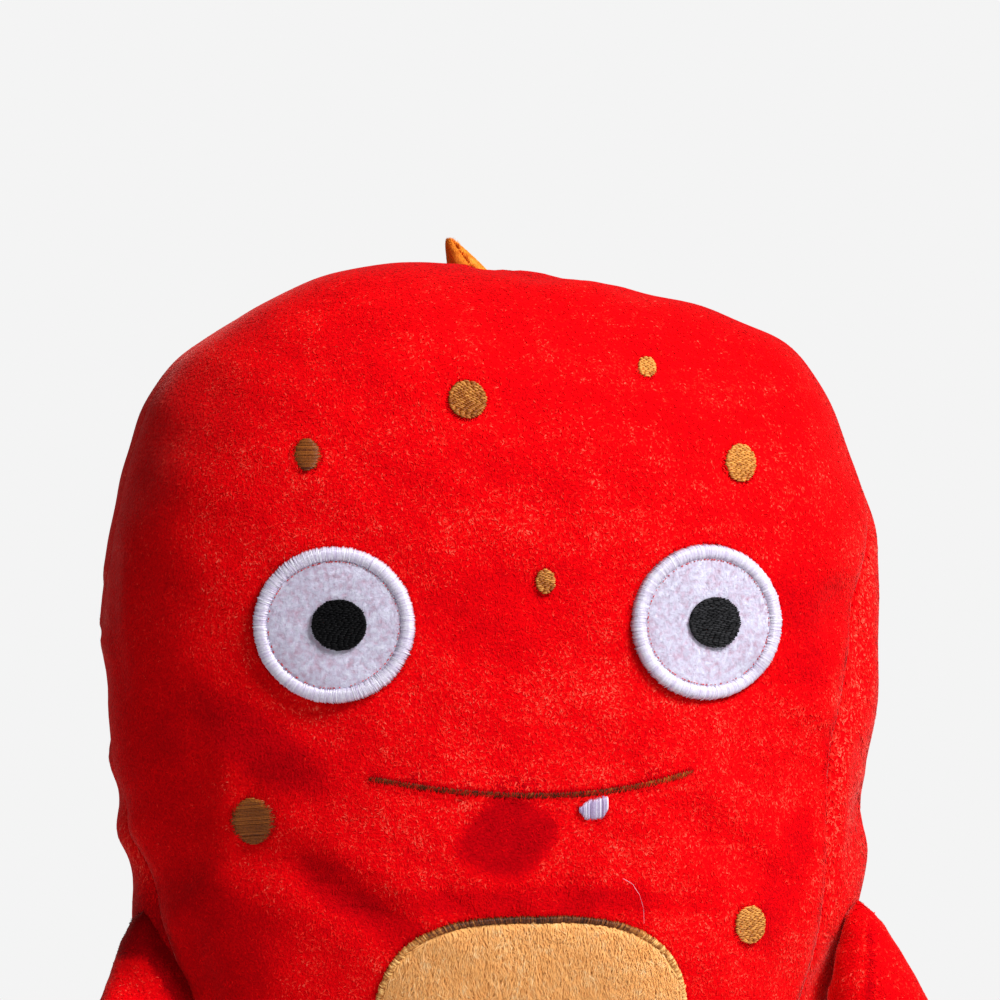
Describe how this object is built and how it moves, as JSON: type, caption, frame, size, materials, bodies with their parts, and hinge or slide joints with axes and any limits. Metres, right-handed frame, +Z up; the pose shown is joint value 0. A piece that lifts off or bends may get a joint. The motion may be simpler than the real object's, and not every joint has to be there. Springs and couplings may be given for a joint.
{
  "type": "plush monster dog toy",
  "caption": "Stuffed red monster dog toy with stub arms and legs, round felt eyes, embroidered face and spots, tan tummy patch, an orange back spike and a squeaker inside",
  "frame": {"origin": "on the surface that the toy stands on, under the middle of its bounding box", "axes": "+X to the right as seen from in front of the face, -Y out of the face, +Z up"},
  "size_m": [0.1679, 0.0844, 0.2093],
  "materials": {
    "red_pile": "short soft pile cloth, bright red with paler fibre tips",
    "red_sole": "short soft pile cloth, bright red",
    "tan_pile": "longer pile cloth, warm tan",
    "orange_pile": "short soft pile cloth, orange",
    "white_felt": "fuzzy white felt with a lavender tint",
    "white_thread": "shiny white embroidery thread in satin stitch",
    "black_thread": "black embroidery thread in rows",
    "brown_thread": "brown embroidery thread in satin stitch, golden where lit",
    "gold_thread": "golden brown embroidery thread in rows",
    "fibre_filling": "white polyester fibre filling",
    "squeaker_plastic": "thin milky plastic",
    "reed_plastic": "white plastic"
  },
  "bodies": {
    "root": {"front_panel": "red_pile", "back_panel_left": "red_pile", "back_panel_right": "red_pile", "arm_left": "red_pile", "arm_right": "red_pile", "leg_left": "red_pile", "leg_right": "red_pile", "sole_left": "red_sole", "sole_right": "red_sole", "front_filling": "fibre_filling", "back_filling": "fibre_filling", "squeaker_bulb": "squeaker_plastic", "squeaker_reed": "reed_plastic", "spike_left_cloth": "orange_pile", "spike_right_cloth": "orange_pile", "eye_left_felt": "white_felt", "eye_right_felt": "white_felt", "eye_left_stitching": "white_thread", "eye_right_stitching": "white_thread", "eye_left_pupil": "black_thread", "eye_right_pupil": "black_thread", "mouth_stitching": "brown_thread", "tooth_stitching": "white_thread", "tummy_patch": "tan_pile", "tummy_stitching": "brown_thread", "spot_crown": "gold_thread", "spot_brow_right": "gold_thread", "spot_temple_right": "gold_thread", "spot_temple_left": "gold_thread", "spot_nose": "gold_thread", "spot_cheek_left": "gold_thread", "spot_cheek_right": "gold_thread"}
  },
  "joints": []
}
